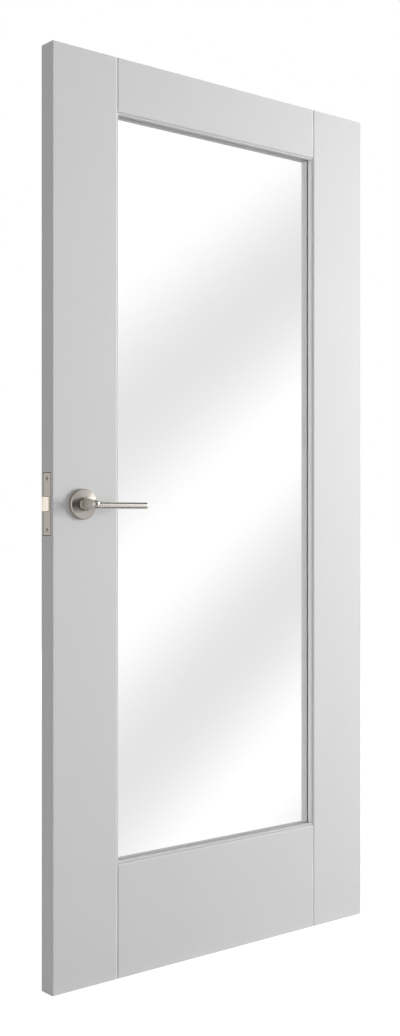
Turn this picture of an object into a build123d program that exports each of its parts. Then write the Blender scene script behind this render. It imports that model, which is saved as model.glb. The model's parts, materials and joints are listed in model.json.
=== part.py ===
"""Glazed interior door leaf, ready to hang on three butt hinges.

A painted timber frame of two stiles and two rails holds one tall pane between glazing beads.
The rails end in stub tenons. Where a rail meets a stile, both are chamfered, so a V groove shows.
A mortice latch sits in the lock stile, and a pair of lever handles on round roses turns it.

Units are millimetres. X runs from the lock edge to the hinge edge, Y from the front of the door
to its back, and Z is up. The origin is the centre of the bottom hinge's fixed leaf, on the face
that is screwed to the door lining. The door is closed, and its lever is at rest.
"""

import os

from build123d import *

os.makedirs("parts", exist_ok=True)

# Timber leaf
leaf_width = 915
leaf_height = 1981
leaf_thickness = 44
stile_width = 165
top_rail_height = 116
bottom_rail_height = 246
edge_radius = 2  # rounding of the long outer edges
groove_width = 3.2  # one flank of the shallow V groove, and the eased edge round the glass
groove_depth = 1.5

# Stub tenons on the rails
tenon_thickness = 14
tenon_length = 30
tenon_shoulder = 22  # timber left above and below each tenon
joint_clearance = 0.2

# Glazing
glass_thickness = 6
glass_offset = 4  # middle of the pane in front of the middle of the timber
glass_clearance = 2  # between the edge of the pane and the timber
tape_thickness = 1
tape_inset = 0.5  # the tape stops this far short of the bead's sight line
bead_width = 4.5
bead_setback = 2.5  # front of the bead behind the face of the door
bead_round = 2
quirk_width = 1.2  # narrow step beside the timber that gives the shadow line
quirk_depth = 2.5
setting_block_length = 80
setting_block_width = 5
setting_block_inset = 110  # from the side of the glazed opening to the middle of the block

# Hinges
hinge_length = 100
hinge_leaf_depth = 33  # from the back face of the door to the leaf's far edge
hinge_leaf_thickness = 2.5
hinge_gap = 3  # between the two leaves with the door closed
knuckle_count = 5
knuckle_radius = 6
knuckle_clearance = 0.4
pin_radius = 3
pin_clearance = 0.05
pin_setback = 6.5  # pin centre beyond the back face of the door
button_radius = 5
button_height = 2
button_chamfer = 0.8
button_clearance = 0.2
gain_clearance = 0.3  # round the leaf that is let into the door edge
hinge_screw_radius = 2.5
hinge_screw_head_radius = 4.4
hinge_screw_outer_rise = 38  # outer pair of holes, from the hinge's middle
hinge_screw_inner_rise = 14
hinge_screw_stagger = 6  # each pair stands this far from the leaf's middle, opposite ways on the two leaves
bottom_hinge_height = 275
top_hinge_drop = 200

# Latch
lever_height = 1020
backset = 72
forend_height = 130
forend_width = 27
forend_thickness = 3
forend_gap = 1.4  # shadow gap in the timber round the plate
forend_screw_rise = 53.5
forend_screw_radius = 2
forend_screw_head_radius = 4.4
forend_screw_length = 28
case_height = 60
case_thickness = 18
case_wall = 1.5
case_tail = 29  # inside of the case beyond the spindle
case_clearance = 1
bolt_height = 30
bolt_width = 14
bolt_throw = 9
bolt_clearance = 0.4
bolt_gap = 1  # above and below the bolt in the forend
bolt_nose = 2.5  # flat end of the bevelled bolt
bolt_lip = 0.5  # how far the low side of the bevel stands out
bolt_corner_radius = 4
bolt_body_length = 18
tail_thickness = 4
tail_half_height = 23
tail_rim = 6
follower_radius = 8
follower_journal_radius = 7
follower_arm_reach = 15.5
follower_arm_width = 6
follower_clearance = 0.3
tail_lead = 1.6  # free play before the arm meets the tail
shoulder_rise = 8.2  # underside of the shoulder that the arm pushes

# Lever furniture
spindle_size = 8
spindle_clearance = 0.1
spindle_hole_radius = 10
rose_radius = 32.5
rose_thickness = 10
rose_chamfer = 1.5
rose_step_radius = 17
rose_step_depth = 0.8
sleeve_radius = 9
sleeve_clearance = 0.1
sleeve_setback = 2  # inner end of the sleeve in front of the door face
collar_radius = 14
collar_length = 7
collar_gap = 0.5
collar_groove = 1
neck_base_radius = 12
neck_end_radius = 8.4
bar_radius = 7.2
bar_standoff = 52
bar_drop = 2.6  # middle of the bar below the spindle
lever_length = 134
tip_round = 5
socket_depth = 26
socket_end_gap = 0.5
grub_screw_radius = 2.5
grub_screw_standoff = 23

# Places worked out from the sizes
x_hinge_edge = -hinge_leaf_thickness - hinge_gap
x_lock_edge = x_hinge_edge - leaf_width
x_lock_shoulder = x_lock_edge + stile_width
x_hinge_shoulder = x_hinge_edge - stile_width
x_glazing = (x_lock_shoulder + x_hinge_shoulder) / 2
y_back = hinge_leaf_depth / 2
y_front = y_back - leaf_thickness
y_middle = (y_front + y_back) / 2
y_glass = y_middle - glass_offset
z_foot = -bottom_hinge_height
z_head = z_foot + leaf_height
z_opening_foot = z_foot + bottom_rail_height
z_opening_head = z_head - top_rail_height
z_glazing = (z_opening_foot + z_opening_head) / 2
z_lever = z_foot + lever_height
x_spindle = x_lock_edge + backset
x_pin = -hinge_leaf_thickness - hinge_gap / 2
y_pin = y_back + pin_setback

rail_length = x_hinge_shoulder - x_lock_shoulder
opening_width = rail_length
opening_height = z_opening_head - z_opening_foot
glass_width = opening_width - 2 * glass_clearance
glass_height = opening_height - 2 * glass_clearance
tenon_reach = tenon_length + joint_clearance
rails = {
    "top_rail": (z_head - top_rail_height / 2, top_rail_height),
    "bottom_rail": (z_foot + bottom_rail_height / 2, bottom_rail_height),
}
z_top_hinge = z_head - top_hinge_drop
hinges = {
    "bottom": 0,
    "middle": z_top_hinge / 2,
    "top": z_top_hinge,
}


def upright(y):
    """A vertical plane at that depth, seen from the front: its x is X and its y is Z."""
    return Plane.XZ.offset(-y)


def across(x):
    """A vertical plane square to the door at that X: its x is Y and its y is Z."""
    return Plane.YZ.offset(x)


def save(part, name):
    """Labels a finished piece and writes its STEP file."""
    part.label = name
    export_step(part, f"parts/{name}.step")


# Stiles: the lock stile carries the latch, and the hinge stile has three gains for the hinges
with BuildPart() as lock_stile:
    with BuildSketch(Plane.XY.offset(z_foot)):
        with Locations((x_lock_edge + stile_width / 2, y_middle)):
            Rectangle(stile_width, leaf_thickness)
    extrude(amount=leaf_height)
    fillet(lock_stile.edges().filter_by(Axis.Z).group_by(Axis.X)[0], edge_radius)
    shoulder = lock_stile.faces().sort_by(Axis.X)[-1]
    chamfer(shoulder.edges().filter_by(Axis.Z), groove_depth, groove_width, reference=shoulder)
    # mortices for the tenons
    with BuildSketch(across(x_lock_shoulder)):
        for z_rail, rail_height in rails.values():
            with Locations((y_middle, z_rail)):
                Rectangle(
                    tenon_thickness + 2 * joint_clearance,
                    rail_height - 2 * tenon_shoulder + 2 * joint_clearance,
                )
    extrude(amount=-tenon_reach, mode=Mode.SUBTRACT)
    # shallow recess for the forend, and the deep mortice behind it for the latch case
    with BuildSketch(across(x_lock_edge)):
        with Locations((y_middle, z_lever)):
            Rectangle(forend_width + 2 * forend_gap, forend_height + 2 * forend_gap)
    extrude(amount=forend_thickness, mode=Mode.SUBTRACT)
    with BuildSketch(across(x_lock_edge)):
        with Locations((y_middle, z_lever)):
            Rectangle(case_thickness + 2 * case_clearance, case_height + 2 * case_clearance)
    extrude(amount=backset + case_tail + case_wall + case_clearance, mode=Mode.SUBTRACT)
    # pilot holes for the forend screws, and the hole for the spindle
    for rise in (-forend_screw_rise, forend_screw_rise):
        with Locations(Plane((x_lock_edge, y_middle, z_lever + rise), z_dir=(-1, 0, 0))):
            Hole(forend_screw_radius, depth=forend_screw_length + joint_clearance)
    with Locations(Plane((x_spindle, y_front, z_lever), z_dir=(0, -1, 0))):
        Hole(spindle_hole_radius)
save(lock_stile.part, "lock_stile")

with BuildPart() as hinge_stile:
    with BuildSketch(Plane.XY.offset(z_foot)):
        with Locations((x_hinge_edge - stile_width / 2, y_middle)):
            Rectangle(stile_width, leaf_thickness)
    extrude(amount=leaf_height)
    fillet(hinge_stile.edges().filter_by(Axis.Z).group_by(Axis.X)[-1], edge_radius)
    shoulder = hinge_stile.faces().sort_by(Axis.X)[0]
    chamfer(shoulder.edges().filter_by(Axis.Z), groove_depth, groove_width, reference=shoulder)
    with BuildSketch(across(x_hinge_shoulder)):
        for z_rail, rail_height in rails.values():
            with Locations((y_middle, z_rail)):
                Rectangle(
                    tenon_thickness + 2 * joint_clearance,
                    rail_height - 2 * tenon_shoulder + 2 * joint_clearance,
                )
    extrude(amount=tenon_reach, mode=Mode.SUBTRACT)
    # a gain for each hinge leaf, open at the back face
    with BuildSketch(across(x_hinge_edge)):
        for z_hinge in hinges.values():
            with Locations((y_back - hinge_leaf_depth - gain_clearance, z_hinge)):
                Rectangle(
                    hinge_leaf_depth + 2 * gain_clearance,
                    hinge_length + 2 * gain_clearance,
                    align=(Align.MIN, Align.CENTER),
                )
    extrude(amount=-hinge_leaf_thickness, mode=Mode.SUBTRACT)
save(hinge_stile.part, "hinge_stile")

# Rails: chamfered where they meet the stiles and along the glass, with a stub tenon at each end
for rail_name, (z_rail, rail_height) in rails.items():
    glass_side = 0 if rail_name == "top_rail" else -1
    with BuildPart() as rail:
        with BuildSketch(across(x_lock_shoulder)):
            with Locations((y_middle, z_rail)):
                Rectangle(leaf_thickness, rail_height)
        extrude(amount=rail_length)
        for facing, side, run in (
            (Axis.X, 0, Axis.Z),
            (Axis.X, -1, Axis.Z),
            (Axis.Z, glass_side, Axis.X),
        ):
            face = rail.faces().sort_by(facing)[side]
            chamfer(face.edges().filter_by(run), groove_depth, groove_width, reference=face)
        with BuildSketch(across(x_lock_shoulder - tenon_length)):
            with Locations((y_middle, z_rail)):
                Rectangle(tenon_thickness, rail_height - 2 * tenon_shoulder)
        extrude(amount=rail_length + 2 * tenon_length)
    save(rail.part, rail_name)

# Glazing: the pane stands on two setting blocks, between two frames of tape
with BuildPart() as glass_pane:
    with BuildSketch(upright(y_glass + glass_thickness / 2)):
        with Locations((x_glazing, z_glazing)):
            Rectangle(glass_width, glass_height)
    extrude(amount=glass_thickness)
save(glass_pane.part, "glass_pane")

with BuildPart() as setting_blocks:
    block_reach = opening_width / 2 - setting_block_inset
    z_block = z_opening_foot + glass_clearance / 2
    with Locations(
        (x_glazing - block_reach, y_glass, z_block),
        (x_glazing + block_reach, y_glass, z_block),
    ):
        Box(setting_block_length, setting_block_width, glass_clearance)
save(setting_blocks.part, "setting_blocks")

for face_name, y_tape in (
    ("front", y_glass - glass_thickness / 2),
    ("back", y_glass + glass_thickness / 2 + tape_thickness),
):
    with BuildPart() as tape:
        with BuildSketch(upright(y_tape)):
            with Locations((x_glazing, z_glazing)):
                Rectangle(glass_width, glass_height)
                sight_line = bead_width - tape_inset
                Rectangle(
                    opening_width - 2 * sight_line,
                    opening_height - 2 * sight_line,
                    mode=Mode.SUBTRACT,
                )
        extrude(amount=tape_thickness)
    save(tape.part, f"{face_name}_glazing_tape")

# Beads: mitred lengths with a quirk beside the timber and a rounded edge beside the glass
bead_back = glass_thickness / 2 + tape_thickness  # from the middle of the pane to the bead
bead_sides = {
    "lock_side": (Vector(1, 0, 0), opening_width / 2, opening_height),
    "hinge_side": (Vector(-1, 0, 0), opening_width / 2, opening_height),
    "bottom": (Vector(0, 0, 1), opening_height / 2, opening_width),
    "top": (Vector(0, 0, -1), opening_height / 2, opening_width),
}
for face_name, y_face, inwards in (
    ("front", y_front, Vector(0, 1, 0)),
    ("back", y_back, Vector(0, -1, 0)),
):
    bead_depth = abs(y_glass - y_face) - bead_back - bead_setback
    for side_name, (to_glass, reach, run_length) in bead_sides.items():
        run = to_glass.cross(inwards)
        middle = Vector(x_glazing, y_face, z_glazing) + inwards * bead_setback - to_glass * reach
        start = middle - run * (run_length / 2)
        end = middle + run * (run_length / 2)
        with BuildPart() as bead:
            with BuildSketch(Plane(origin=start, x_dir=to_glass, z_dir=run)):
                with BuildLine():
                    Polyline(
                        (bead_width, bead_round),
                        (bead_width, bead_depth),
                        (0, bead_depth),
                        (0, quirk_depth),
                        (quirk_width, quirk_depth),
                        (quirk_width, 0),
                        (bead_width - bead_round, 0),
                    )
                    RadiusArc((bead_width - bead_round, 0), (bead_width, bead_round), -bead_round)
                make_face()
            extrude(amount=run_length)
            split(bisect_by=Plane(origin=start, z_dir=run - to_glass), keep=Keep.TOP)
            split(bisect_by=Plane(origin=end, z_dir=-run - to_glass), keep=Keep.TOP)
        save(bead.part, f"{face_name}_bead_{side_name}")

# Butt hinges: each leaf is a plate with its share of the knuckles, alternating along the pin
knuckle_pitch = hinge_length / knuckle_count
knuckle_length = knuckle_pitch - knuckle_clearance
screw_depth = hinge_screw_head_radius - hinge_screw_radius


def hinge_leaf(z_hinge, first_knuckle, x_outer, to_gap):
    """One leaf: x_outer is the face against the timber, and to_gap points at the other leaf."""
    x_inner = x_outer + to_gap * hinge_leaf_thickness
    x_plate = (x_outer + x_inner) / 2
    with BuildPart() as leaf:
        with BuildSketch(Plane.XY.offset(z_hinge - hinge_length / 2)):
            with Locations((x_plate, y_back - hinge_leaf_depth / 2)):
                Rectangle(hinge_leaf_thickness, hinge_leaf_depth)
        extrude(amount=hinge_length)
        for index in range(first_knuckle, knuckle_count, 2):
            z_knuckle = z_hinge - hinge_length / 2 + (index + 0.5) * knuckle_pitch
            with BuildSketch(Plane.XY.offset(z_knuckle - knuckle_length / 2)):
                with Locations((x_pin, y_pin)):
                    Circle(knuckle_radius)
                # the plate runs on into the knuckle
                with Locations((x_plate, y_back)):
                    Rectangle(
                        hinge_leaf_thickness,
                        pin_setback,
                        align=(Align.CENTER, Align.MIN),
                    )
            extrude(amount=knuckle_length)
        with Locations((x_pin, y_pin, z_hinge)):
            Cylinder(pin_radius + pin_clearance, hinge_length + 1, mode=Mode.SUBTRACT)
        # countersunk screw holes, staggered so that no two heads meet when the door is shut
        for rise, stagger in (
            (hinge_screw_outer_rise, -to_gap * hinge_screw_stagger),
            (hinge_screw_inner_rise, to_gap * hinge_screw_stagger),
        ):
            for side in (-1, 1):
                y_screw = y_back - hinge_leaf_depth / 2 + stagger
                where = (x_inner, y_screw, z_hinge + side * rise)
                with Locations(Plane(where, z_dir=(to_gap, 0, 0))):
                    CounterSinkHole(
                        hinge_screw_radius,
                        hinge_screw_head_radius,
                        depth=hinge_leaf_thickness,
                    )
    return leaf.part


for hinge_name, z_hinge in hinges.items():
    save(hinge_leaf(z_hinge, 0, 0, -1), f"{hinge_name}_hinge_fixed_leaf")
    save(
        hinge_leaf(z_hinge, 1, x_hinge_edge - hinge_leaf_thickness, 1),
        f"{hinge_name}_hinge_door_leaf",
    )
    with BuildPart() as pin:
        z_button = hinge_length / 2 + button_clearance
        with Locations((x_pin, y_pin, z_hinge)):
            Cylinder(pin_radius, 2 * z_button)
        for side in (-1, 1):
            with Locations((x_pin, y_pin, z_hinge + side * (z_button + button_height / 2))):
                Cylinder(button_radius, button_height)
        rims = pin.edges().filter_by(GeomType.CIRCLE).group_by(Axis.Z)
        chamfer(rims[0] + rims[-1], button_chamfer)
    save(pin.part, f"{hinge_name}_hinge_pin")

# Latch: forend and case are fixed in the lock stile
x_forend_back = x_lock_edge + forend_thickness
with BuildPart() as forend:
    with BuildSketch(across(x_lock_edge)):
        with Locations((y_middle, z_lever)):
            Rectangle(forend_width, forend_height)
            Rectangle(
                bolt_width + 2 * bolt_clearance,
                bolt_height + 2 * bolt_gap,
                mode=Mode.SUBTRACT,
            )
    extrude(amount=forend_thickness)
    for rise in (-forend_screw_rise, forend_screw_rise):
        with Locations(Plane((x_lock_edge, y_middle, z_lever + rise), z_dir=(-1, 0, 0))):
            CounterSinkHole(
                forend_screw_radius + joint_clearance,
                forend_screw_head_radius + joint_clearance,
                depth=forend_thickness,
            )
save(forend.part, "forend")

with BuildPart() as forend_screws:
    for rise in (-forend_screw_rise, forend_screw_rise):
        with BuildSketch(
            Plane((x_lock_edge, y_middle, z_lever + rise), x_dir=(1, 0, 0), z_dir=(0, -1, 0))
        ):
            head_depth = forend_screw_head_radius - forend_screw_radius
            with BuildLine():
                Polyline(
                    (0, 0),
                    (0, forend_screw_head_radius),
                    (head_depth, forend_screw_radius),
                    (forend_screw_length, forend_screw_radius),
                    (forend_screw_length, 0),
                    close=True,
                )
            make_face()
        revolve(axis=Axis((x_lock_edge, y_middle, z_lever + rise), (1, 0, 0)))
save(forend_screws.part, "forend_screws")

case_depth = backset - forend_thickness + case_tail + case_wall
with BuildPart() as latch_case:
    with BuildSketch(across(x_forend_back)):
        with Locations((y_middle, z_lever)):
            Rectangle(case_thickness, case_height)
    extrude(amount=case_depth)
    with BuildSketch(across(x_forend_back)):
        with Locations((y_middle, z_lever)):
            Rectangle(case_thickness - 2 * case_wall, case_height - 2 * case_wall)
    extrude(amount=case_depth - case_wall, mode=Mode.SUBTRACT)
    with Locations(Plane((x_spindle, y_middle - case_thickness / 2, z_lever), z_dir=(0, -1, 0))):
        Hole(follower_journal_radius + sleeve_clearance)
save(latch_case.part, "latch_case")

# Latch bolt: a head bevelled towards the front, and a flat tail with a window round the follower
x_bolt_end = x_lock_edge - bolt_throw
x_shoulder = x_spindle + follower_arm_width / 2 + tail_lead
with BuildPart() as latch_bolt:
    with BuildSketch(Plane.XY.offset(z_lever)):
        with BuildLine():
            bevel_foot = (x_lock_edge - bolt_lip, y_middle - bolt_width / 2)
            bevel_top = (x_bolt_end, y_middle + bolt_width / 2 - bolt_nose)
            RadiusArc(bevel_foot, bevel_top, -2 * bolt_width)
            Polyline(
                bevel_top,
                (x_bolt_end, y_middle + bolt_width / 2),
                (x_forend_back + bolt_body_length, y_middle + bolt_width / 2),
                (x_forend_back + bolt_body_length, y_middle - bolt_width / 2),
                bevel_foot,
            )
        make_face()
    extrude(amount=bolt_height / 2, both=True)
    fillet(latch_bolt.faces().sort_by(Axis.X)[0].edges().filter_by(Axis.Y), bolt_corner_radius)
    # tail plate
    with BuildSketch(upright(y_middle)):
        with BuildLine():
            x_tail_end = x_spindle + follower_radius + tail_lead + tail_rim
            Polyline(
                (x_forend_back + bolt_body_length, z_lever - tail_half_height),
                (x_tail_end, z_lever - tail_half_height),
                (x_tail_end, z_lever + tail_half_height),
                (x_forend_back + bolt_body_length, z_lever + tail_half_height),
                close=True,
            )
        make_face()
        with BuildLine():
            x_window = x_spindle - follower_radius - bolt_throw - 1
            z_window_top = z_lever + follower_arm_reach + 2
            Polyline(
                (x_window, z_lever - follower_radius - tail_lead),
                (x_tail_end - tail_rim, z_lever - follower_radius - tail_lead),
                (x_tail_end - tail_rim, z_lever + shoulder_rise),
                (x_shoulder, z_lever + shoulder_rise),
                (x_shoulder, z_window_top),
                (x_window, z_window_top),
                close=True,
            )
        make_face(mode=Mode.SUBTRACT)
    extrude(amount=tail_thickness / 2, both=True)
save(latch_bolt.part, "latch_bolt")

# Follower: a hub on the spindle with one arm that draws the bolt back
with BuildPart() as latch_follower:
    with Locations(Plane((x_spindle, y_middle, z_lever), z_dir=(0, 1, 0))):
        Cylinder(follower_journal_radius, case_thickness)
        Cylinder(follower_radius, case_thickness - 2 * case_wall - 2 * follower_clearance)
    with BuildSketch(upright(y_middle)):
        with Locations((x_spindle, z_lever)):
            Rectangle(
                follower_arm_width,
                follower_arm_reach,
                align=(Align.CENTER, Align.MIN),
            )
    extrude(amount=tail_thickness / 2, both=True)
    with BuildSketch(upright(y_middle)):
        with Locations((x_spindle, z_lever)):
            Rectangle(spindle_size + 2 * spindle_clearance, spindle_size + 2 * spindle_clearance)
    extrude(amount=case_thickness, both=True, mode=Mode.SUBTRACT)
save(latch_follower.part, "latch_follower")

# Lever furniture: the front rose and lever, and their mirror images behind the door
door_middle = upright(y_middle)
spindle_axis = Axis((x_spindle, y_front, z_lever), (0, -1, 0))
handle_plan = Plane((x_spindle, y_front, z_lever), x_dir=(1, 0, 0), z_dir=(0, 0, -1))

with BuildPart() as front_rose:
    with BuildSketch(handle_plan):
        with BuildLine():
            rose_bore = sleeve_radius + sleeve_clearance
            Polyline(
                (rose_radius, rose_thickness - rose_chamfer),
                (rose_radius, 0),
                (rose_bore, 0),
                (rose_bore, rose_thickness - rose_step_depth),
                (rose_step_radius, rose_thickness - rose_step_depth),
                (rose_step_radius, rose_thickness),
                (rose_radius - rose_chamfer, rose_thickness),
                close=True,
            )
        make_face()
    revolve(axis=spindle_axis)
save(front_rose.part, "front_rose")

collar_start = rose_thickness + collar_gap
collar_end = collar_start + collar_length
bar_axis = Axis((x_spindle, y_front - bar_standoff, z_lever - bar_drop), (1, 0, 0))
bar_plan = handle_plan.offset(bar_drop)
with BuildPart() as front_lever:
    # sleeve, collar and tapered neck with a domed end, turned about the spindle
    with BuildSketch(handle_plan):
        with BuildLine():
            Polyline(
                (0, bar_standoff + neck_end_radius),
                (0, sleeve_setback),
                (sleeve_radius, sleeve_setback),
                (sleeve_radius, collar_start),
                (collar_radius - collar_groove, collar_start),
                (collar_radius, collar_start + collar_groove),
                (collar_radius, collar_end - collar_groove),
                (collar_radius - collar_groove, collar_end),
                (neck_base_radius, collar_end),
                (neck_end_radius, bar_standoff),
            )
            RadiusArc((neck_end_radius, bar_standoff), (0, bar_standoff + neck_end_radius), -neck_end_radius)
        make_face()
    revolve(axis=spindle_axis)
    # straight bar with a rounded tip, level, and a little lower than the spindle
    with BuildSketch(bar_plan):
        with BuildLine():
            Polyline(
                (lever_length, bar_standoff + bar_radius - tip_round),
                (lever_length, bar_standoff),
                (0, bar_standoff),
                (0, bar_standoff + bar_radius),
                (lever_length - tip_round, bar_standoff + bar_radius),
            )
            RadiusArc(
                (lever_length - tip_round, bar_standoff + bar_radius),
                (lever_length, bar_standoff + bar_radius - tip_round),
                tip_round,
            )
        make_face()
    revolve(axis=bar_axis)
    # square socket for the spindle, and a blind hole for the grub screw under the neck
    with BuildSketch(upright(y_front - sleeve_setback)):
        with Locations((x_spindle, z_lever)):
            Rectangle(spindle_size + 2 * spindle_clearance, spindle_size + 2 * spindle_clearance)
    extrude(amount=socket_depth, mode=Mode.SUBTRACT)
    with Locations(
        Plane((x_spindle, y_front - grub_screw_standoff, z_lever - neck_base_radius), z_dir=(0, 0, -1))
    ):
        Hole(grub_screw_radius, depth=neck_base_radius - spindle_size / 2)
save(front_lever.part, "front_lever")

with BuildPart() as back_rose:
    mirror(front_rose.part, about=door_middle)
save(back_rose.part, "back_rose")

with BuildPart() as back_lever:
    mirror(front_lever.part, about=door_middle)
save(back_lever.part, "back_lever")

with BuildPart() as spindle:
    spindle_half = leaf_thickness / 2 + sleeve_setback + socket_depth - socket_end_gap
    with BuildSketch(upright(y_middle)):
        with Locations((x_spindle, z_lever)):
            Rectangle(spindle_size, spindle_size)
    extrude(amount=spindle_half, both=True)
save(spindle.part, "spindle")
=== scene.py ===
# %% [markdown]
# A painted door with one tall pane, standing by itself on a white studio floor.
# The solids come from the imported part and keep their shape. This script gives them their finishes,
# adds the small things that are too fine for the solids, and lights the scene as the photograph is lit.
# Units are metres. X runs towards the hinges, Y towards the back of the door, and Z up.

import json
import math

import bmesh
import bpy
from mathutils import Matrix, Vector


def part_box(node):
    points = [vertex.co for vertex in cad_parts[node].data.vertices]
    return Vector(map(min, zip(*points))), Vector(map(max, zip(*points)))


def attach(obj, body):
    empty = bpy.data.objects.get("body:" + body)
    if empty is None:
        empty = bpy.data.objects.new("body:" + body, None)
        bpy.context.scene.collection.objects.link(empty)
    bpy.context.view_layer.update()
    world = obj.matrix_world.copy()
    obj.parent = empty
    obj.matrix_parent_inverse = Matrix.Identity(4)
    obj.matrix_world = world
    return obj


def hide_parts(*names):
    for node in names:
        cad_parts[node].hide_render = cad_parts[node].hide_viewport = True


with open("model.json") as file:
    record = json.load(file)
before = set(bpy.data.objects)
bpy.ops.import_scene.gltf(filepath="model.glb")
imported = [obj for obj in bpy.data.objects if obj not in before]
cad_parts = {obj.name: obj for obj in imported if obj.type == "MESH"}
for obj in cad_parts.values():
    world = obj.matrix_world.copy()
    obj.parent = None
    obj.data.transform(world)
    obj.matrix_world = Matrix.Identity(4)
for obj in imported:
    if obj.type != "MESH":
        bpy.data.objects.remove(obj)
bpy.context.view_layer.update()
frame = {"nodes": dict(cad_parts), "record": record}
nodes = frame["nodes"]
MM = 0.001

# %% [markdown]
# Most things in this scene are placed from a few faces of the door, so those are read once
# from the solids and given names. The few sizes that no solid's box can tell, such as where a hole
# is, get a name in the cell that uses them.

# %% Read the main places from the solids
lock_low, lock_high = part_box("lock_stile")
hinge_low, hinge_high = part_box("hinge_stile")
rose_low, rose_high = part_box("front_rose")
x_lock_edge = lock_low.x
x_hinge_edge = hinge_high.x
y_front = lock_low.y
y_back = lock_high.y
y_middle = (y_front + y_back) / 2
z_foot = lock_low.z
z_head = lock_high.z
spindle_centre = Vector(((rose_low.x + rose_high.x) / 2, y_middle, (rose_low.z + rose_high.z) / 2))
door_centre = Vector(((x_lock_edge + x_hinge_edge) / 2, y_middle, (z_foot + z_head) / 2))
bodies = frame["record"]["behaviour"]["bodies"]
body_of = {name: body for body, names in bodies.items() for name in names}
leaf_size = (x_hinge_edge - x_lock_edge, y_back - y_front, z_head - z_foot)
print("leaf, metres:", [round(side, 4) for side in leaf_size])

# %% [markdown]
# Every piece is shaped as a bmesh and then becomes an object that rides on one of the door's bodies.
# Its shading is smooth everywhere but across real corners, which are told by their angle.

# %% Helpers for pieces
CREASE_ABOVE = math.radians(20)


def new_piece(name, made, body):
    """Turns a finished bmesh into an object that rides on a body of the door."""
    mesh = bpy.data.meshes.new(name)
    made.to_mesh(mesh)
    made.free()
    piece = bpy.data.objects.new(name, mesh)
    bpy.context.scene.collection.objects.link(piece)
    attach(piece, body)
    return piece


def crease_by_angle(made):
    """Smooth shading everywhere but across real corners."""
    for face in made.faces:
        face.smooth = True
    for edge in made.edges:
        edge.smooth = edge.is_manifold and edge.calc_face_angle() < CREASE_ABOVE


print("a corner stays crisp above, degrees:", round(math.degrees(CREASE_ABOVE)))

# %% [markdown]
# A solid arrives as loose flat triangles, which is right for its shape but shows a round bar as
# a row of flats. A sculptor would smooth it by hand. Here each solid that shows gets a merged copy, in which
# flat faces become one face each, rounds are shaded smooth, and real corners stay crisp.
# The copy stands for the solid and rides on the same body, so nothing moves and nothing changes size.

# %% Merged copies of the solids that show
MERGE_WITHIN = 0.001 * MM
FLAT_WITHIN = math.radians(0.4)


def merged_copy(node_name):
    """One joined skin from a solid's loose triangles, standing for that solid."""
    made = bmesh.new()
    made.from_mesh(nodes[node_name].data)
    bmesh.ops.remove_doubles(made, verts=made.verts, dist=MERGE_WITHIN)
    bmesh.ops.dissolve_limit(made, angle_limit=FLAT_WITHIN, verts=made.verts, edges=made.edges)
    crease_by_angle(made)
    piece = new_piece(node_name + "_skin", made, body_of[node_name])
    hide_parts(node_name)
    return piece


def keep_flats_flat(piece):
    """Lets large faces rule the shading where they run into a round."""
    steady = piece.modifiers.new("flats_stay_flat", "WEIGHTED_NORMAL")
    steady.keep_sharp = True


bead_names = [name for name in nodes if "_bead_" in name]
hinge_names = [name for name in nodes if "_hinge_" in name and name not in bead_names]
timber_names = ["lock_stile", "hinge_stile", "top_rail", "bottom_rail"]
metal_names = ["front_rose", "back_rose", "front_lever", "back_lever", "forend", "latch_bolt"]
skin = {name: merged_copy(name) for name in timber_names + bead_names + metal_names + hinge_names}
for name in timber_names + bead_names + hinge_names + ["forend", "latch_bolt"]:
    keep_flats_flat(skin[name])
print("merged copies:", len(skin), "faces:", sum(len(piece.data.polygons) for piece in skin.values()))

# %% [markdown]
# Colours are written as the hex values that a designer would read off a screen. Blender's
# shaders want linear light, so one function turns each hex value to linear.
# Another small function adds a shader node, sets it and links it, which keeps every recipe short.

# %% Helpers for materials
def linear(hex_colour):
    """The linear RGBA of an sRGB hex colour such as #DADADA, by the formula of the sRGB standard."""
    channels = [int(hex_colour[i : i + 2], 16) / 255 for i in (1, 3, 5)]
    return [c / 12.92 if c <= 0.04045 else ((c + 0.055) / 1.055) ** 2.4 for c in channels] + [1]


def add(tree, kind, inputs=None, **settings):
    """Adds a node. Settings are its own properties; inputs are values, or sockets to link from."""
    node = tree.nodes.new(kind)
    for name, value in settings.items():
        setattr(node, name, value)
    for name, value in (inputs or {}).items():
        if isinstance(value, bpy.types.NodeSocket):
            tree.links.new(value, node.inputs[name])
        else:
            node.inputs[name].default_value = value
    return node


def new_material(name):
    """A material, and its tree with nothing in it yet."""
    material = bpy.data.materials.new(name)
    material.use_nodes = True
    material.node_tree.nodes.clear()
    return material, material.node_tree


def finish_with(pieces, material):
    """Gives pieces a material."""
    for piece in pieces:
        piece.data.materials.clear()
        piece.data.materials.append(material)


print("a screen grey of #808080 in linear light:", round(linear("#808080")[0], 3))

# %% [markdown]
# The timber is finished with a sprayed satin paint. Up close such a coat has a fine orange peel,
# about a millimetre across, that breaks up reflections, and it is a little glossier where it lies
# thicker. The peel here is drawn a few times coarser than real, so that it shows at all.

# %% Satin paint on the timber
PAINT_LIGHT = "#DADADA"
PAINT_SHADE = "#D7D7D7"
PEEL_WIDTH = 4 * MM
PEEL_HEIGHT = 0.02 * MM
PEEL_STRENGTH = 0.5
CLOUD_WIDTH = 180 * MM
ROUGHNESS_THICK = 0.54
ROUGHNESS_THIN = 0.64


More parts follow.
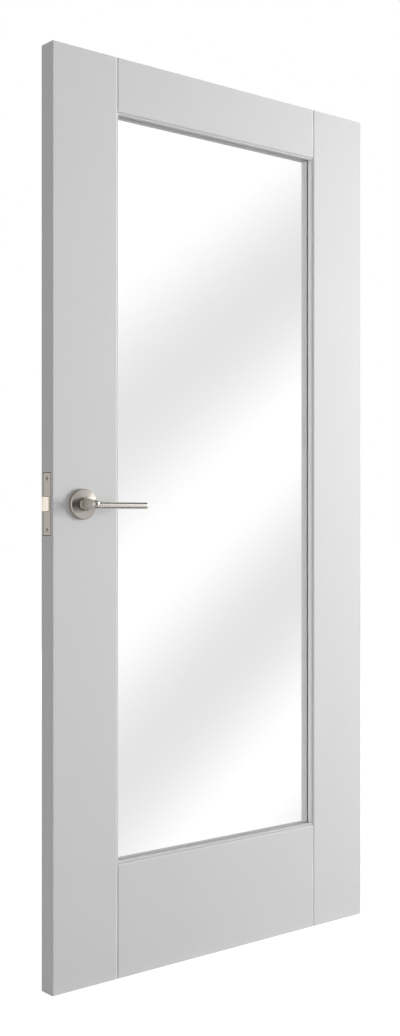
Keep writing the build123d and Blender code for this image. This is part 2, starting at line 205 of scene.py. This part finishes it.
def satin_paint(name):
    """Sprayed acrylic eggshell on primed timber: soft sheen, faint peel, barely uneven tone."""
    material, tree = new_material(name)
    place = add(tree, "ShaderNodeTexCoord").outputs["Object"]
    peel = add(tree, "ShaderNodeTexNoise", {"Vector": place, "Scale": 1 / PEEL_WIDTH, "Detail": 2})
    cloud = add(tree, "ShaderNodeTexNoise", {"Vector": place, "Scale": 1 / CLOUD_WIDTH, "Detail": 3})
    tone = add(
        tree,
        "ShaderNodeMix",
        {"Factor": cloud.outputs["Fac"], "A": linear(PAINT_SHADE), "B": linear(PAINT_LIGHT)},
        data_type="RGBA",
    )
    sheen = add(
        tree,
        "ShaderNodeMapRange",
        {"Value": cloud.outputs["Fac"], "To Min": ROUGHNESS_THICK, "To Max": ROUGHNESS_THIN},
    )
    bump = add(
        tree,
        "ShaderNodeBump",
        {"Height": peel.outputs["Fac"], "Distance": PEEL_HEIGHT, "Strength": PEEL_STRENGTH},
    )
    paint = add(
        tree,
        "ShaderNodeBsdfPrincipled",
        {
            "Base Color": tone.outputs["Result"],
            "Roughness": sheen.outputs["Result"],
            "Normal": bump.outputs["Normal"],
            "IOR": 1.48,
        },
    )
    add(tree, "ShaderNodeOutputMaterial", {"Surface": paint.outputs["BSDF"]})
    return material


timber_paint = satin_paint("satin_acrylic_paint_on_timber")
finish_with([skin[name] for name in timber_names], timber_paint)
finish_with([skin[name] for name in bead_names], timber_paint)
print("painted pieces:", len(timber_names) + len(bead_names))

# %% [markdown]
# The pane is clear float glass. It has a faint grey tint seen through its face, takes a little
# more light away than thin glass would, and mirrors the studio at a glancing angle.
# Real light passes through it to the floor, so the pane casts no shadow of its own.

# %% Clear float glass
GLASS_TINT = "#E3E3E3"


def float_glass():
    """Annealed soda-lime float glass, polished by the molten tin it is made on."""
    material, tree = new_material("clear_float_glass")
    glass = add(
        tree,
        "ShaderNodeBsdfPrincipled",
        {"Base Color": linear(GLASS_TINT), "Roughness": 0.0, "IOR": 1.52, "Transmission Weight": 1.0},
    )
    add(tree, "ShaderNodeOutputMaterial", {"Surface": glass.outputs["BSDF"]})
    return material


finish_with([nodes["glass_pane"]], float_glass())
nodes["glass_pane"].visible_shadow = False
print("share of light that the glass tint lets by:", round(linear(GLASS_TINT)[0], 2))

# %% [markdown]
# The handles are satin nickel: cast zinc, plated, then dulled with a fine abrasive wheel.
# The bar is rubbed along its length. The rose is turned, so its marks run in rings about the spindle.
# Marks spread a highlight across themselves: on rings that gives the two bright wedges
# that meet in the middle, like a bow tie, which no plain roughness can give.
# Real marks are about a tenth of a millimetre wide. They are drawn coarser here, so that they show.

# %% Brushed and turned metal
BRUSH_WIDTH = 0.6 * MM
RING_WIDTH = 0.9 * MM
ROUGHNESS_SPREAD = 0.06


def worn_metal(tree, colour, roughness, marks, more_inputs=None):
    """Ends a recipe with bare metal whose roughness wanders with its marks."""
    least = roughness - ROUGHNESS_SPREAD
    most = roughness + ROUGHNESS_SPREAD
    uneven = add(tree, "ShaderNodeMapRange", {"Value": marks, "To Min": least, "To Max": most})
    inputs = {"Base Color": linear(colour), "Metallic": 1.0, "Roughness": uneven.outputs["Result"]}
    metal = add(tree, "ShaderNodeBsdfPrincipled", inputs | (more_inputs or {}))
    add(tree, "ShaderNodeOutputMaterial", {"Surface": metal.outputs["BSDF"]})


def satin_metal(name, colour, roughness, stretch):
    """Plated metal with fine marks. The smaller the stretch along an axis, the further they run along it."""
    material, tree = new_material(name)
    place = add(tree, "ShaderNodeTexCoord").outputs["Object"]
    along = add(tree, "ShaderNodeMapping", {"Vector": place, "Scale": stretch}).outputs["Vector"]
    marks = add(tree, "ShaderNodeTexNoise", {"Vector": along, "Scale": 1 / BRUSH_WIDTH, "Detail": 3})
    worn_metal(tree, colour, roughness, marks.outputs["Fac"])
    return material


def turned_metal(name, colour, roughness, brushing):
    """Plated metal turned on a lathe: its marks are rings about the spindle."""
    material, tree = new_material(name)
    place = add(tree, "ShaderNodeTexCoord").outputs["Object"]
    offset = add(tree, "ShaderNodeVectorMath", {0: place, 1: spindle_centre}, operation="SUBTRACT").outputs[0]
    outward = add(tree, "ShaderNodeVectorMath", {0: offset, 1: (1, 0, 1)}, operation="MULTIPLY").outputs[0]
    radius = add(tree, "ShaderNodeVectorMath", {0: outward}, operation="LENGTH").outputs["Value"]
    rings = add(
        tree,
        "ShaderNodeTexNoise",
        {"W": radius, "Scale": 1 / RING_WIDTH, "Detail": 2},
        noise_dimensions="1D",
    )
    worn_metal(tree, colour, roughness, rings.outputs["Fac"], {"Anisotropic": brushing, "Tangent": outward})
    return material


print("marks per millimetre:", round(MM / BRUSH_WIDTH, 1), "rings:", round(MM / RING_WIDTH, 1))

# %% [markdown]
# The plates and the bolt are finished along their height, so their marks run up and down. The screws
# of the faceplate and the inner parts are tumbled in a drum, which leaves no direction. The finishes
# differ a little in colour and gloss, as parts from different plating baths do.

# %% The metals of this door
ALONG_BAR = (0.05, 1, 1)
UP_AND_DOWN = (1, 1, 0.05)
NO_DIRECTION = (1, 1, 1)
turned_nickel = turned_metal("satin_nickel_turned", "#CFC9C1", roughness=0.31, brushing=0.75)
drawn_nickel = satin_metal("satin_nickel_drawn", "#CFCAC3", roughness=0.27, stretch=ALONG_BAR)
rolled_nickel = satin_metal("satin_nickel_rolled_plate", "#ABA69D", roughness=0.36, stretch=UP_AND_DOWN)
screw_nickel = satin_metal("dull_nickel_screw", "#8F8A80", roughness=0.42, stretch=NO_DIRECTION)
bolt_nickel = satin_metal("bright_nickel_bolt", "#F4EBDD", roughness=0.3, stretch=UP_AND_DOWN)
zinc_steel = satin_metal("zinc_plated_steel", "#A9ABAD", roughness=0.38, stretch=NO_DIRECTION)
inner_parts = [nodes[name] for name in ("latch_case", "latch_follower", "spindle")]
finish_with([skin["front_rose"], skin["back_rose"]], turned_nickel)
finish_with([skin["front_lever"], skin["back_lever"]], drawn_nickel)
finish_with([skin["forend"], nodes["forend_screws"]], rolled_nickel)
finish_with([skin["latch_bolt"]], bolt_nickel)
finish_with(inner_parts, zinc_steel)
finish_with([skin[name] for name in hinge_names], rolled_nickel)
print("metal pieces:", len(metal_names) + len(inner_parts) + len(hinge_names))

# %% [markdown]
# The tape between glass and bead is a soft pale foam, and the blocks under the pane are black
# rubber. Both are matt, with a fine grain: the foam's closed cells, and the texture of the mould.

# %% Foam tape and rubber blocks
GRAIN_HEIGHT = 0.1 * MM


def matt_rubber(name, colour, grain_width):
    """Foamed or moulded rubber: no gloss, and a fine grain."""
    material, tree = new_material(name)
    place = add(tree, "ShaderNodeTexCoord").outputs["Object"]
    grain = add(tree, "ShaderNodeTexNoise", {"Vector": place, "Scale": 1 / grain_width, "Detail": 1})
    bump = add(tree, "ShaderNodeBump", {"Height": grain.outputs["Fac"], "Distance": GRAIN_HEIGHT})
    rubber = add(
        tree,
        "ShaderNodeBsdfPrincipled",
        {"Base Color": linear(colour), "Roughness": 0.85, "Normal": bump.outputs["Normal"]},
    )
    add(tree, "ShaderNodeOutputMaterial", {"Surface": rubber.outputs["BSDF"]})
    return material


tapes = [nodes["front_glazing_tape"], nodes["back_glazing_tape"]]
tape_foam = matt_rubber("glazing_foam_tape", "#CFCFCD", grain_width=0.6 * MM)
block_rubber = matt_rubber("setting_block_rubber", "#2A2A2A", grain_width=0.4 * MM)
finish_with(tapes, tape_foam)
finish_with([nodes["setting_blocks"]], block_rubber)
print("tapes:", len(tapes))

# %% [markdown]
# A countersunk screw shows only its head: a flat disc with a cross-shaped recess pressed into it.
# The recess could be cut with a boolean, but a small grid gives it more cleanly. The middle row and
# column of the grid are pushed down and drawn together, and the grid's rim is then pulled out to a circle.
# The taper under the head and the shank are drawn down from that circle.

# %% How a countersunk screw is made
CELLS = 7
CROSS_CELLS = 5
GRID_SHARE = 0.82
RECESS_DEPTH = 2.2 * MM
RECESS_TAPER = 0.6


def countersunk_screw(name, place, turn, head_radius, shank_radius, length):
    """A cross-recess screw in the door. Its head faces +Z before it is turned and put in place."""
    made = bmesh.new()
    half_grid = head_radius * GRID_SHARE
    bmesh.ops.create_grid(made, x_segments=CELLS, y_segments=CELLS, size=half_grid)
    cell = 2 * half_grid / CELLS
    cross = []
    for face in made.faces:
        middle = face.calc_center_median()
        across, along = sorted((abs(middle.x), abs(middle.y)))
        if across < cell / 2 and along < cell * CROSS_CELLS / 2:
            cross.append(face)
    pushed = bmesh.ops.extrude_face_region(made, geom=cross)
    floor_verts = [item for item in pushed["geom"] if isinstance(item, bmesh.types.BMVert)]
    bmesh.ops.delete(made, geom=cross, context="FACES")
    bmesh.ops.translate(made, verts=floor_verts, vec=(0, 0, -RECESS_DEPTH))
    bmesh.ops.scale(made, verts=floor_verts, vec=(RECESS_TAPER, RECESS_TAPER, 1))
    rim = [edge for edge in made.edges if edge.is_boundary]
    for vert in {vert for edge in rim for vert in edge.verts}:
        vert.co = vert.co.normalized() * head_radius
    for radius, depth in ((shank_radius, head_radius - shank_radius), (shank_radius, length)):
        wall = bmesh.ops.extrude_edge_only(made, edges=rim)["geom"]
        rim = [item for item in wall if isinstance(item, bmesh.types.BMEdge) and item.is_boundary]
        ring = list({vert for edge in rim for vert in edge.verts})
        for vert in ring:
            vert.co = Vector((vert.co.x, vert.co.y, 0)).normalized() * radius - Vector((0, 0, depth))
    bmesh.ops.holes_fill(made, edges=rim, sides=0)
    bmesh.ops.recalc_face_normals(made, faces=made.faces)
    crease_by_angle(made)
    made.transform(Matrix.Translation(place) @ turn)
    return new_piece(name, made, "door_leaf")


print("arms of the cross, cells long:", CROSS_CELLS, "of", CELLS)

# %% [markdown]
# Two such screws hold the faceplate of the latch, which joiners call the forend. Among the solids they
# are one node with plain heads, which this pair stands for. The crosses are a little askew, because
# a screw stops where it bites.

# %% Screws of the faceplate
SCREW_SINK = 0.4 * MM
FOREND_HEAD_RADIUS = 4.4 * MM
FOREND_SHANK_RADIUS = 2 * MM
FOREND_CROSS_ANGLE = math.radians(12)
facing_lock_side = Matrix.Rotation(math.radians(-90), 4, "Y") @ Matrix.Rotation(FOREND_CROSS_ANGLE, 4, "Z")
screw_low, screw_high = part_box("forend_screws")
forend_screws = []
for label, z in (("lower", screw_low.z + FOREND_HEAD_RADIUS), ("upper", screw_high.z - FOREND_HEAD_RADIUS)):
    head = Vector((screw_low.x + SCREW_SINK, y_middle, z))
    screw = countersunk_screw(
        f"forend_screw_{label}",
        head,
        facing_lock_side,
        FOREND_HEAD_RADIUS,
        FOREND_SHANK_RADIUS,
        length=screw_high.x - head.x,
    )
    forend_screws.append(screw)
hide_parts("forend_screws")
finish_with(forend_screws, screw_nickel)
print("forend screws at z, metres:", [round(screw.data.vertices[0].co.z, 3) for screw in forend_screws])

# %% [markdown]
# The recess of the faceplate is cut after the door is painted, so its walls are bare timber. Here they
# are drawn near black, which is painted shade: the shade deep in the gap round the plate. The grain runs up
# the stile, so the pattern is drawn out along that way.

# %% Bare timber grain in painted shade
PAINTED_SHADE_DARKER = "#191512"
PAINTED_SHADE_LIGHTER = "#241F1A"
GRAIN_WIDTH = 1.5 * MM
ALONG_GRAIN = (1, 1, 0.08)


def painted_shade_timber():
    """Painted shade of the gap round the faceplate: near black, with the grain of a raw softwood edge sealed
    with a thin oil.
    """
    material, tree = new_material("painted_shade_softwood")
    place = add(tree, "ShaderNodeTexCoord").outputs["Object"]
    along = add(tree, "ShaderNodeMapping", {"Vector": place, "Scale": ALONG_GRAIN}).outputs["Vector"]
    grain = add(tree, "ShaderNodeTexNoise", {"Vector": along, "Scale": 1 / GRAIN_WIDTH, "Detail": 3})
    tone = add(
        tree,
        "ShaderNodeMix",
        {"Factor": grain.outputs["Fac"], "A": linear(PAINTED_SHADE_DARKER), "B": linear(PAINTED_SHADE_LIGHTER)},
        data_type="RGBA",
    )
    wood = add(tree, "ShaderNodeBsdfPrincipled", {"Base Color": tone.outputs["Result"], "Roughness": 0.9})
    add(tree, "ShaderNodeOutputMaterial", {"Surface": wood.outputs["BSDF"]})
    return material


print("grain lines per centimetre:", round(10 * MM / GRAIN_WIDTH, 1))

# %% [markdown]
# The gap between those walls and the plate shows as a fine dark line all round the plate. A thin frame
# fills that gap with painted shade: one face, inset to the plate's outline, opened in the middle and
# pushed in as deep as the plate is thick.

# %% Thin frame of painted shade round the faceplate
RECESS_GAP = 1.4 * MM
FRAME_CLEARANCE = 0.1 * MM
FRAME_SINK = 0.2 * MM
forend_low, forend_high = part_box("forend")
plate_height = forend_high.z - forend_low.z
plate_width = forend_high.y - forend_low.y
plate_middle = (forend_low + forend_high) / 2
margin = RECESS_GAP - FRAME_CLEARANCE
made = bmesh.new()
bmesh.ops.create_grid(made, x_segments=1, y_segments=1, size=0.5)
bmesh.ops.scale(made, verts=made.verts, vec=(plate_height + 2 * margin, plate_width + 2 * margin, 1))
plate_face = made.faces[:]
bmesh.ops.inset_region(
    made,
    faces=plate_face,
    thickness=margin - FRAME_CLEARANCE,
    use_boundary=True,
    use_even_offset=True,
)
bmesh.ops.delete(made, geom=plate_face, context="FACES")
pushed = bmesh.ops.extrude_face_region(made, geom=made.faces[:])["geom"]
pushed_verts = [item for item in pushed if isinstance(item, bmesh.types.BMVert)]
bmesh.ops.translate(made, verts=pushed_verts, vec=(0, 0, forend_high.x - forend_low.x - FRAME_SINK))
bmesh.ops.recalc_face_normals(made, faces=made.faces)
made.transform(Matrix.Rotation(math.radians(90), 4, "Y"))
made.transform(Matrix.Translation((forend_low.x + FRAME_SINK, plate_middle.y, plate_middle.z)))
# A near-black frame of painted shade fills the gap round the plate.
shade_rim = new_piece("forend_painted_shade_rim", made, "door_leaf")
finish_with([shade_rim], painted_shade_timber())
print("faces of the frame:", len(shade_rim.data.polygons))

# %% [markdown]
# Each hinge is held to the door by four screws, set zigzag so that they do not split the timber
# along one line of grain. They sit in the countersunk holes of the leaf. The matching holes in the
# other leaf stay open, because their screws belong to the door frame.

# %% Hinge screws
HINGE_HEAD_RADIUS = 4.3 * MM
HINGE_SHANK_RADIUS = 2.4 * MM
HINGE_SHANK_LENGTH = 2.4 * MM
HINGE_CROSS_ANGLE = math.radians(-20)
HOLES_UP_AND_ASIDE_MM = ((-38, -6), (-14, 6), (14, 6), (38, -6))
facing_hinge_side = Matrix.Rotation(math.radians(90), 4, "Y") @ Matrix.Rotation(HINGE_CROSS_ANGLE, 4, "Z")
hinge_screws = []
for hinge in ("bottom", "middle", "top"):
    leaf_low, leaf_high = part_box(f"{hinge}_hinge_door_leaf")
    middle_height = (leaf_low.z + leaf_high.z) / 2
    for number, (up, aside) in enumerate(HOLES_UP_AND_ASIDE_MM, start=1):
        head = Vector((x_hinge_edge - SCREW_SINK, aside * MM, middle_height + up * MM))
        screw = countersunk_screw(
            f"{hinge}_hinge_screw_{number}",
            head,
            facing_hinge_side,
            HINGE_HEAD_RADIUS,
            HINGE_SHANK_RADIUS,
            length=HINGE_SHANK_LENGTH,
        )
        hinge_screws.append(screw)
finish_with(hinge_screws, rolled_nickel)
print("hinge screws:", len(hinge_screws))

# %% [markdown]
# Under the neck of each lever a small set screw grips the spindle. It has a hexagonal socket and
# sits just inside its hole, so it is only seen from below. The end of a cylinder is inset, its inner
# ring is pulled into a hexagon, and that face is pushed in. A point of a hexagon lies further out the
# more its angle differs from the middle of its own flat side, by one over the cosine.

# %% Set screws in the levers
SET_SCREW_RADIUS = 2.4 * MM
SET_SCREW_LENGTH = 5 * MM
SET_SCREW_SIDES = 24
SET_SCREW_STANDOFF = 23 * MM
SET_SCREW_DROP = 6.6 * MM
SOCKET_INSET = 0.9 * MM
SOCKET_ACROSS = 2.4 * MM
SOCKET_DEPTH = 2 * MM


def set_screw(name, place):
    """A socket set screw that faces down."""
    made = bmesh.new()
    bmesh.ops.create_cone(
        made,
        cap_ends=True,
        segments=SET_SCREW_SIDES,
        radius1=SET_SCREW_RADIUS,
        radius2=SET_SCREW_RADIUS,
        depth=SET_SCREW_LENGTH,
    )
    mouth = min(made.faces, key=lambda face: face.calc_center_median().z)
    bmesh.ops.inset_region(made, faces=[mouth], thickness=SOCKET_INSET)
    for vert in mouth.verts:
        angle = math.atan2(vert.co.y, vert.co.x)
        off_flat = (angle + math.pi / 6) % (math.pi / 3) - math.pi / 6
        reach = SOCKET_ACROSS / 2 / math.cos(off_flat)
        vert.co = Vector((reach * math.cos(angle), reach * math.sin(angle), vert.co.z))
    sunk = bmesh.ops.extrude_discrete_faces(made, faces=[mouth])["faces"][0]
    bmesh.ops.translate(made, verts=sunk.verts, vec=(0, 0, SOCKET_DEPTH))
    crease_by_angle(made)
    made.transform(Matrix.Translation(place))
    return new_piece(name, made, "lever_pair")


set_screws = []
for side, y_face, outward in (("front", y_front, -1), ("back", y_back, 1)):
    y = y_face + outward * SET_SCREW_STANDOFF
    place = Vector((spindle_centre.x, y, spindle_centre.z - SET_SCREW_DROP))
    set_screws.append(set_screw(f"{side}_set_screw", place))
finish_with(set_screws, zinc_steel)
print("set screws:", len(set_screws))

# %% [markdown]
# The studio is white all round. The world is white where the camera, a reflection or the glass
# sees it, and dimmer where it lights the door, so the shade side keeps its tone.

# %% White world
WHITE = (1, 1, 1, 1)
FILL_LIGHT = 0.475


def white_world():
    """White to the eye and in reflections, and a soft even fill for everything else."""
    world = bpy.data.worlds.new("studio")
    bpy.context.scene.world = world
    world.use_nodes = True
    tree = world.node_tree
    tree.nodes.clear()
    ray = add(tree, "ShaderNodeLightPath").outputs
    rays = {0: ray["Is Camera Ray"], 1: ray["Is Glossy Ray"]}
    seen = add(tree, "ShaderNodeMath", rays, operation="MAXIMUM")
    rays = {0: seen.outputs[0], 1: ray["Is Transmission Ray"]}
    seen = add(tree, "ShaderNodeMath", rays, operation="MAXIMUM")
    fill = add(tree, "ShaderNodeBackground", {"Color": WHITE, "Strength": FILL_LIGHT})
    white = add(tree, "ShaderNodeBackground", {"Color": WHITE, "Strength": 1.0})
    mix = add(tree, "ShaderNodeMixShader", {0: seen.outputs[0], 1: fill.outputs[0], 2: white.outputs[0]})
    add(tree, "ShaderNodeOutputWorld", {"Surface": mix.outputs[0]})


white_world()
print("fill light:", FILL_LIGHT)

# %% [markdown]
# The rest of the studio is flat cards, each seen only by the kinds of ray that it is there for.
# The largest is the floor. It is lifted to white for the camera, as the world is, and still takes
# the door's soft shadow.

# %% Studio cards and the floor
FLOOR_SIZE = 60
FLOOR_LIFT = 0.72
FLOOR_COLOUR = "#D0D0D0"
LYING = Matrix.Identity(4)
UPRIGHT = Matrix.Rotation(math.radians(90), 4, "X")


def stage_card(name, place, size, turn, material, seen_by):
    """A flat card of the studio, seen only by the named kinds of ray."""
    made = bmesh.new()
    bmesh.ops.create_grid(made, x_segments=1, y_segments=1, size=0.5)
    bmesh.ops.scale(made, verts=made.verts, vec=(size[0], size[1], 1))
    made.transform(Matrix.Translation(place) @ turn)
    mesh = bpy.data.meshes.new(name)
    made.to_mesh(mesh)
    made.free()
    card = bpy.data.objects.new(name, mesh)
    bpy.context.scene.collection.objects.link(card)
    for kind in ("camera", "diffuse", "glossy", "transmission", "shadow"):
        setattr(card, "visible_" + kind, kind in seen_by)
    mesh.materials.append(material)


def floor_paint():
    """Matt white vinyl, lifted to white where the camera sees it."""
    material, tree = new_material("matt_white_floor")
    ray = add(tree, "ShaderNodeLightPath").outputs
    lift = add(tree, "ShaderNodeMath", {0: ray["Is Camera Ray"], 1: FLOOR_LIFT}, operation="MULTIPLY")
    matt = add(tree, "ShaderNodeBsdfDiffuse", {"Color": linear(FLOOR_COLOUR)})
    glow = add(tree, "ShaderNodeEmission", {"Color": WHITE, "Strength": lift.outputs[0]})
    both = add(tree, "ShaderNodeAddShader", {0: matt.outputs[0], 1: glow.outputs[0]})
    add(tree, "ShaderNodeOutputMaterial", {"Surface": both.outputs[0]})
    return material


floor_place = Vector((door_centre.x, door_centre.y, z_foot))
floor_size = (FLOOR_SIZE, FLOOR_SIZE)
stage_card("floor", floor_place, floor_size, LYING, floor_paint(), ("camera", "diffuse", "shadow"))
print("floor level:", round(z_foot, 4))

# %% [markdown]
# Seen through the pane, soft slanting bands of light cross the studio. They are a painted reflection,
# shown through the glass rather than mirrored by it. A backdrop that only the glass sees holds them:
# one cosine across the bands is enough, because nothing in them has an edge.

# %% Painted reflection bands on a backdrop behind the glass
BACKDROP_PLACE = Vector((0, 3.49, 0))
BACKDROP_SIZE = (24, 16)
BAND_PERIOD = 1.53
BAND_BRIGHT_AT = -0.86
BAND_ACROSS = Vector((-0.6, 0, 0.8))
BAND_GAIN = 0.37


def painted_reflection_bands():
    """White with soft brighter bands that climb to the right, and bright above the highest: a painted
    reflection.
    """
    material, tree = new_material("painted_reflection_backdrop")
    place = add(tree, "ShaderNodeTexCoord").outputs["Object"]
    across = add(tree, "ShaderNodeVectorMath", {0: place, 1: BAND_ACROSS}, operation="DOT_PRODUCT")
    top_band = BAND_BRIGHT_AT + BAND_PERIOD
    across = add(tree, "ShaderNodeMath", {0: across.outputs["Value"], 1: top_band}, operation="MINIMUM")
    turn = 2 * math.pi / BAND_PERIOD
    inputs = {0: across.outputs[0], 1: turn, 2: -BAND_BRIGHT_AT * turn}
    phase = add(tree, "ShaderNodeMath", inputs, operation="MULTIPLY_ADD")
    wave = add(tree, "ShaderNodeMath", {0: phase.outputs[0]}, operation="COSINE")
    level = add(
        tree,
        "ShaderNodeMapRange",
        {"Value": wave.outputs[0], "From Min": -1, "To Min": 1.0, "To Max": 1.0 + BAND_GAIN},
    )
    light = add(tree, "ShaderNodeEmission", {"Color": WHITE, "Strength": level.outputs["Result"]})
    add(tree, "ShaderNodeOutputMaterial", {"Surface": light.outputs[0]})
    return material


# The glass shows this glowing backdrop as its painted reflection bands.
stage_card("painted_reflection_backdrop", BACKDROP_PLACE, BACKDROP_SIZE, UPRIGHT, painted_reflection_bands(), ("transmission",))
print("backdrop behind the door, metres:", round(BACKDROP_PLACE.y, 2))

# %% [markdown]
# Bright metal only looks like metal when it has something dark to mirror. Photographers stand
# black cards just outside the picture for that. These are seen by reflections alone and stay
# clear of everything that the flat glass mirrors towards the camera.

# %% Black cards for the metal
JUST_ABOVE_FLOOR = z_foot + 5 * MM
BLACK_CARDS = (
    ("black_card_left", (-1.35, -3.5, 0.9), (5.3, 4.5), UPRIGHT),
    ("black_card_above", (0.5, -0.5, 3.0), (8.0, 1.9), LYING),
    ("black_card_below", (0.0, -0.32, JUST_ABOVE_FLOOR), (4.0, 0.56), LYING),
)


def black_velvet():
    """Velvet-covered card, which sends nothing back."""
    material, tree = new_material("black_velvet_card")
    dark = add(tree, "ShaderNodeEmission", {"Color": (0, 0, 0, 1), "Strength": 0.0})
    add(tree, "ShaderNodeOutputMaterial", {"Surface": dark.outputs[0]})
    return material


velvet = black_velvet()
for name, place, size, turn in BLACK_CARDS:
    stage_card(name, Vector(place), size, turn, velvet, ("glossy",))
print("black cards:", len(BLACK_CARDS))

# %% [markdown]
# A soft box is a rectangular area lamp. Each one faces its target and is hidden from any direct view.
# It can be kept out of matt light or out of reflections. The pane is left out of what some lamps
# light, by light linking: such a lamp is given a collection in which the pane is marked as excluded,
# and it then lights everything else.

# %% Helpers for lamps
def toward(round_from_front, up):
    """The direction of a lamp, by its angle from straight in front round to the right, and its height."""
    level = Vector((math.sin(round_from_front), -math.cos(round_from_front), 0)) * math.cos(up)
    return level + Vector((0, 0, math.sin(up)))


def soft_lamp(name, place, target, size, power, on_matt=True, on_gloss=True):
    """A rectangular soft box that faces the target, and that no direct view shows."""
    data = bpy.data.lights.new(name, "AREA")
    data.shape = "RECTANGLE"
    data.size, data.size_y = size
    data.energy = power
    lamp = bpy.data.objects.new(name, data)
    lamp.rotation_mode = "QUATERNION"
    lamp.rotation_quaternion = (target - place).to_track_quat("-Z", "Y")
    lamp.location = place
    lamp.visible_camera = False
    lamp.visible_transmission = False
    lamp.visible_diffuse = on_matt
    lamp.visible_glossy = on_gloss
    bpy.context.scene.collection.objects.link(lamp)
    print(name, "at:", [round(c, 2) for c in place])
    return lamp


not_the_pane = bpy.data.collections.new("lit_all_but_the_pane")
not_the_pane.objects.link(nodes["glass_pane"])
not_the_pane.collection_objects[0].light_linking.link_state = "EXCLUDE"


def keep_off_pane(lamp):
    """Leaves the pane out of what a lamp lights, so that the glass never mirrors its hard outline."""
    lamp.light_linking.receiver_collection = not_the_pane


print("a lamp straight in front lies towards:", [round(c) for c in toward(0, 0)])

# %% [markdown]
# One large soft lamp stands to the right, in front and a little high. It brightens the right side of
# the door more than the left, lights the left flank of each V groove, and leaves the lock edge in shade.
# The metal mirrors a second lamp, further round to the right. That one is kept out of matt light,
# because paint that turned to face it, as the open door does, would clip to white.

# %% Key lamp and glint lamp
KEY_POWER = 170
KEY_DISTANCE = 5
KEY_ROUND = math.radians(50)
KEY_UP = math.radians(3)
KEY_SIZE = (1.9, 1.9)
GLINT_POWER = 535
GLINT_DISTANCE = 7
GLINT_ROUND = math.radians(68)
GLINT_UP = math.radians(12)
GLINT_SIZE = (2.6, 2.6)
key_place = door_centre + toward(KEY_ROUND, KEY_UP) * KEY_DISTANCE
soft_lamp("key_lamp", key_place, door_centre, KEY_SIZE, KEY_POWER, on_gloss=False)
glint_place = door_centre + toward(GLINT_ROUND, GLINT_UP) * GLINT_DISTANCE
keep_off_pane(soft_lamp("glint_lamp", glint_place, door_centre, GLINT_SIZE, GLINT_POWER, on_matt=False))

# %% [markdown]
# A weaker lamp stands almost straight behind the door, a little to the right, so that the back
# looks nearly as light as the front. It reaches neither the front nor the lock edge. The beads of
# the hinge side face left, away from all these lamps, so a narrow strip lamp close behind the
# opening rakes across to them, as light from the bright studio does.

# %% Lamps behind the door
REAR_POWER = 120
REAR_DISTANCE = 7
REAR_ROUND = math.radians(165)
REAR_UP = math.radians(12)
REAR_SIZE = (2.6, 2.6)
STRIP_POWER = 0.55
STRIP_STANDOFF = 0.3
STRIP_SIZE = (0.1, 2.0)
STRIP_SPREAD = math.radians(30)
rear_place = door_centre + toward(REAR_ROUND, REAR_UP) * REAR_DISTANCE
keep_off_pane(soft_lamp("rear_lamp", rear_place, door_centre, REAR_SIZE, REAR_POWER))
strip_place = Vector((lock_high.x, y_back + STRIP_STANDOFF, door_centre.z))
strip_target = Vector((hinge_low.x, door_centre.y, door_centre.z))
strip_lamp = soft_lamp("strip_lamp", strip_place, strip_target, STRIP_SIZE, STRIP_POWER, on_gloss=False)
strip_lamp.data.spread = STRIP_SPREAD

# %% [markdown]
# The camera stands to the left of the door, level with the middle of it, and looks along its own
# axis without tilting, so the uprights stay upright. Its place was found by fitting the corners of
# the leaf to the photograph, and is given from the corner of the leaf that is nearest to it.

# %% Camera
VIEW_ANGLE = math.radians(39.3)
CORNER_AHEAD = 2.761
CORNER_LEFT = 0.305
CAMERA_HEIGHT = 0.991
FOCAL_PIXELS = 1333
PHOTO_LONG_SIDE = 1036
SENSOR = 36
ahead = Vector((math.sin(VIEW_ANGLE), math.cos(VIEW_ANGLE), 0))
right = Vector((math.cos(VIEW_ANGLE), -math.sin(VIEW_ANGLE), 0))
near_corner = Vector((x_lock_edge, y_front, 0))
eye = near_corner - ahead * CORNER_AHEAD + right * CORNER_LEFT
eye.z = z_foot + CAMERA_HEIGHT
camera_data = bpy.data.cameras.new("camera")
camera_data.sensor_width = SENSOR
camera_data.lens = FOCAL_PIXELS / PHOTO_LONG_SIDE * SENSOR
camera = bpy.data.objects.new("camera", camera_data)
camera.rotation_mode = "QUATERNION"
camera.rotation_quaternion = ahead.to_track_quat("-Z", "Y")
camera.location = eye
bpy.context.scene.collection.objects.link(camera)
bpy.context.scene.camera = camera
print("camera at:", [round(c, 3) for c in eye], "lens, mm:", round(camera_data.lens, 2))

# %% [markdown]
# Last, the colour settings stay plain.

# %% Colour settings
bpy.context.scene.view_settings.view_transform = "Standard"
